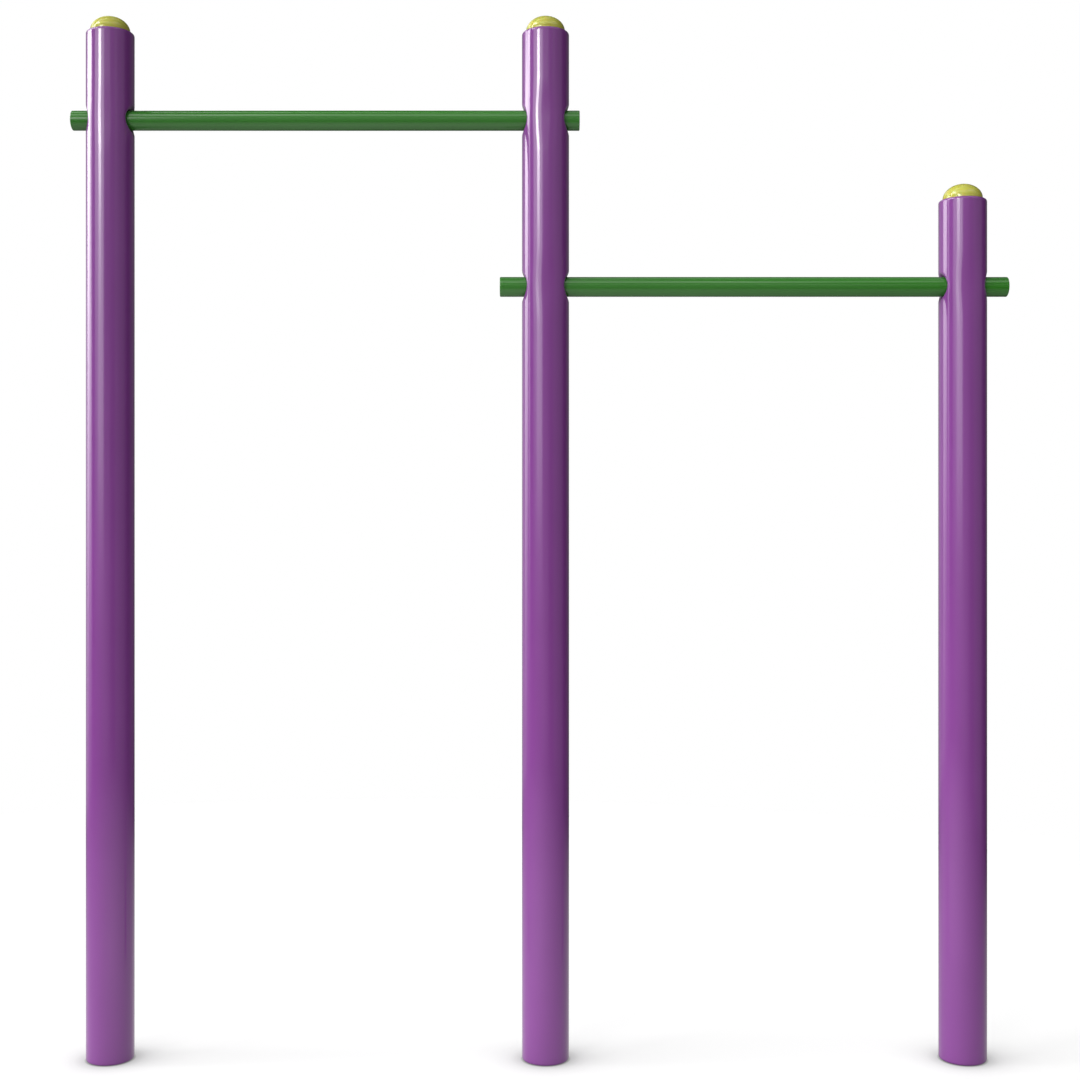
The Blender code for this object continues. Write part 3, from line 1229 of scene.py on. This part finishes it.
@dataclass
class Floor:
    """A round white floor that fades out towards its edge.

    The camera sees its fill and the frame's shadow. Its glow, painted light that is brightest in front of
    the frame, lights the frame from below. Near a foot both are darkened by a painted contact shadow, down
    to the share given at each radius.
    """

    feet: tuple[float, ...]
    middle: Point = (-0.6, -1.0)
    radius: float = 4.5
    sides: int = 96
    fade_from: float = 3.5
    gain: float = 0.4
    fill: float = 0.65
    # A painted contact shadow round each foot: the share of light left at each radius.
    painted_shade_radii: tuple[float, ...] = (0.05, 0.058, 0.08, 0.1, 0.13, 0.18)
    painted_contact_shade: tuple[float, ...] = (0.22, 0.68, 0.85, 0.92, 0.97, 1.0)
    glow_reach: float = 4.3
    glow: float = 1.0

    def build(self) -> Piece:
        """Lays the disc and gives it its finish.

        Returns:
            The floor.
        """
        clear_selection()
        bpy.ops.mesh.primitive_circle_add(
            vertices=self.sides, radius=self.radius, fill_type="NGON", location=(*self.middle, 0.0))
        floor = name_new("floor")
        floor.data.materials.append(self.material())
        return floor

    def material(self) -> bpy.types.Material:
        """Makes white that takes the frame's shadow and a painted contact shadow round each foot, and glows
        with painted light onto the frame from below.

        Returns:
            The material.
        """
        nodes = Nodes("floor_white")
        reach = nodes.distance((*self.middle, 0.0))
        # Painted contact shadow: darkens the floor's white and its glow near each foot.
        shade: object = 1.0
        for foot in self.feet:
            near = nodes.distance((foot, 0.0, 0.0))
            shade = nodes.math("MULTIPLY", nodes.graded(near, self.painted_shade_radii, self.painted_contact_shade), shade)
        seen = nodes.add("LightPath").outputs["Is Camera Ray"]
        unseen = nodes.math("SUBTRACT", 1.0, seen)
        # Painted glow: the floor shines on the frame, brightest in front of it, though it is no lamp.
        thrown = nodes.math("MULTIPLY", nodes.remap(reach, 0.0, self.glow_reach, self.glow, 0.0), unseen)
        strength = nodes.math("ADD", thrown, nodes.math("MULTIPLY", seen, self.fill))
        shaded = nodes.math("MULTIPLY", strength, shade)
        glow = nodes.add("Emission", {"Strength": shaded}).outputs["Emission"]
        chalk = nodes.add("BsdfDiffuse", {"Color": nodes.math("MULTIPLY", shade, self.gain)}).outputs["BSDF"]
        both = nodes.add("AddShader", {0: glow, 1: chalk}).outputs["Shader"]
        clear = nodes.add("BsdfTransparent").outputs["BSDF"]
        edge = nodes.remap(reach, self.fade_from, self.radius, 0.0, 1.0)
        surface = nodes.mix(edge, nodes.mix(seen, glow, both), clear)
        nodes.tree.links.new(surface, nodes.tree.nodes["Material Output"].inputs["Surface"])
        nodes.tree.nodes.remove(nodes.shader)
        return nodes.material


@dataclass
class Studio:
    """A white floor, softboxes all round the frame, and the camera."""

    feet: tuple[float, ...]
    lens: float = 50.0
    sensor: float = 36.0
    eye: Spot = (0.0006, -3.447, 1.1915)

    def build(self) -> None:
        """Lays the floor, lights the frame and sets the camera."""
        Floor(self.feet).build()
        World().build((
            Softbox(-144.0, 19.0, 10.0, 8.0, 35.0, 9.0, 0.53),
            Softbox(-144.0, 19.0, 10.0, 31.0, 5.5, 8.0, 1.7),
            Softbox(-115.0, 3.5, 3.0, 16.0, 14.0, 1.5, 7.0),
            Softbox(-115.0, 3.5, 3.0, 27.0, 6.5, 6.0, 6.7),
            Softbox(-101.5, 7.0, 3.0, 18.0, 11.0, 1.5, 11.0),
            Softbox(-101.5, 7.0, 3.0, 80.0, 14.0, 15.5, 7.5),
            Softbox(-88.0, 3.5, 3.0, 10.0, 10.5, 3.5, 3.7),
            Softbox(-88.0, 3.5, 3.0, 17.0, 1.5, 33.5, 14.0),
            Softbox(-71.0, 9.0, 6.0, 40.0, 3.0, 3.0, 17.0),
            Softbox(-38.0, 20.0, 6.0, 17.0, 10.0, 5.5, 3.7),
            Softbox(-38.0, 20.0, 6.0, 52.0, 8.0, 5.5, 2.7),
            Softbox(-35.0, 5.0, 2.5, 17.0, 3.5, 4.5, 23.0),
            Softbox(-31.0, 11.0, 6.0, 5.0, 3.5, 8.0, 2.0),
            Softbox(-3.0, 13.0, 7.0, 5.0, 34.5, 5.0, 0.37),
            Softbox(-3.0, 13.0, 7.0, 18.0, 4.0, 1.5, 1.6),
            Softbox(-3.0, 13.0, 7.0, 43.0, 6.5, 26.0, 1.9),
            Softbox(28.0, 13.0, 8.0, 18.0, 11.0, 4.5, 0.4),
            Softbox(28.0, 13.0, 8.0, 52.0, 7.0, 6.5, 1.5),
            Softbox(62.0, 19.0, 10.0, 13.0, 35.0, 18.5, 0.34),
            Softbox(62.0, 19.0, 10.0, 52.0, 13.5, 11.0, 1.7),
            Softbox(155.0, 26.0, 14.0, 11.0, 24.0, 14.0, 0.16),
            Softbox(155.0, 26.0, 14.0, 86.0, 15.5, 18.0, 1.3),
        ))
        camera = bpy.data.cameras.new("camera")
        camera.lens = self.lens
        camera.sensor_width = self.sensor
        stand = bpy.data.objects.new("camera", camera)
        stand.location = self.eye
        stand.rotation_euler = (math.pi / 2, 0.0, 0.0)
        bpy.context.scene.collection.objects.link(stand)
        bpy.context.scene.camera = stand
        bpy.context.scene.view_settings.view_transform = "Standard"


def build_bars(finishes: Finishes) -> dict[Level, Crossbar]:
    """Builds and dresses the bars and their plugs. The low bar's plugs are copies of the high bar's.

    Args:
        finishes: The frame's finishes.

    Returns:
        The bars, by level.
    """
    bars = {level: Crossbar(level) for level in Level}
    top = bars[Level.HIGH]
    plugs = {side: top.build_plug(side) for side in Side}
    for level, bar in bars.items():
        finishes.dress(bar.build_tube(), Slot.BAR, bar.node)
        for side, plug in plugs.items():
            node = f"bar_plug_{level.value}_{side.name.lower()}"
            piece = plug if bar is top else copy(plug, node + "_crown", bar.end(side) - top.end(side))
            finishes.dress(piece, Slot.PLUG, node)
    return bars


def build_posts(finishes: Finishes, posts: tuple[Post, ...]) -> None:
    """Builds and dresses the posts, with copies of one foot plate, anchor nut and cap.

    Args:
        finishes: The frame's finishes.
        posts: The posts, the left one first.
    """
    first = posts[0]
    foot = Foot(first)
    plate, cap = foot.build_plate(), DomeCap(first).build()
    stand = Matrix.Translation((first.x, 0.0, foot.thickness + GAP))
    anchor = HexNut(flats=0.024, height=0.013, thread=Thread(radius=0.008, pitch=0.002)).build(
        "anchor_nut_left_hex", stand)
    for post in posts:
        finishes.dress(post.build(), Slot.POST, post.node)
        along = Vector((post.x - first.x, 0.0, 0.0))
        up = Vector((0.0, 0.0, post.height - first.height))
        for piece, kind, end, slot, shift in (
                (plate, "foot_plate", "disc", Slot.POST, along),
                (anchor, "anchor_nut", "hex", Slot.ZINC, along),
                (cap, "dome_cap", "shell", Slot.CAP, along + up)):
            node = f"{kind}_{post.place.value}"
            twin = piece if post is first else copy(piece, f"{node}_{end}", shift)
            finishes.dress(twin, slot, node)


def build_locks(finishes: Finishes, posts: tuple[Post, ...], bars: dict[Level, Crossbar]) -> None:
    """Builds one locking screw and its nut, and copies them to wherever a bar passes a post.

    Args:
        finishes: The frame's finishes.
        posts: The posts, the left one first.
        bars: The bars, by level.
    """
    left, middle, right = posts
    high = bars[Level.HIGH].height
    back = Matrix.Rotation(-math.pi / 2, 4, "X")
    tip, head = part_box("lock_screw_high_left")
    screw = LockScrew(length=head.y - tip.y, thread=Thread(radius=0.006, pitch=LOCK_PITCH)).build(
        "lock_screw_high_left_socket", Matrix.Translation((left.x, tip.y, high)) @ back)
    seat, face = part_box("lock_nut_high_left")
    nut = HexNut(flats=0.019, height=face.y - seat.y, thread=Thread(radius=0.0063, pitch=LOCK_PITCH)).build(
        "lock_nut_high_left_hex", Matrix.Translation((left.x, seat.y, high)) @ back)
    for level, post in ((Level.HIGH, left), (Level.HIGH, middle), (Level.LOW, middle), (Level.LOW, right)):
        shift = Vector((post.x - left.x, 0.0, bars[level].height - high))
        for piece, kind, end in ((screw, "lock_screw", "socket"), (nut, "lock_nut", "hex")):
            node = f"{kind}_{level.value}_{post.place.value}"
            twin = copy(piece, f"{node}_{end}", shift) if shift.length > GAP else piece
            finishes.dress(twin, Slot.ZINC, node)


def main() -> None:
    """Loads the frame, builds every sub-assembly and sets the studio."""
    logging.basicConfig(level=logging.INFO, format="%(name)s %(message)s")
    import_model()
    finishes = Finishes()
    bars = build_bars(finishes)
    high, low = bars[Level.HIGH].height, bars[Level.LOW].height
    posts = (
        Post(Place.LEFT, (Crossing(high, 0.0007),)),
        Post(Place.MIDDLE, (Crossing(low, 0.0015), Crossing(high, 0.0019))),
        Post(Place.RIGHT, (Crossing(low, 0.0015),)),
    )
    build_posts(finishes, posts)
    build_locks(finishes, posts, bars)
    Studio(tuple(post.x for post in posts)).build()


if __name__ == "__main__":
    main()
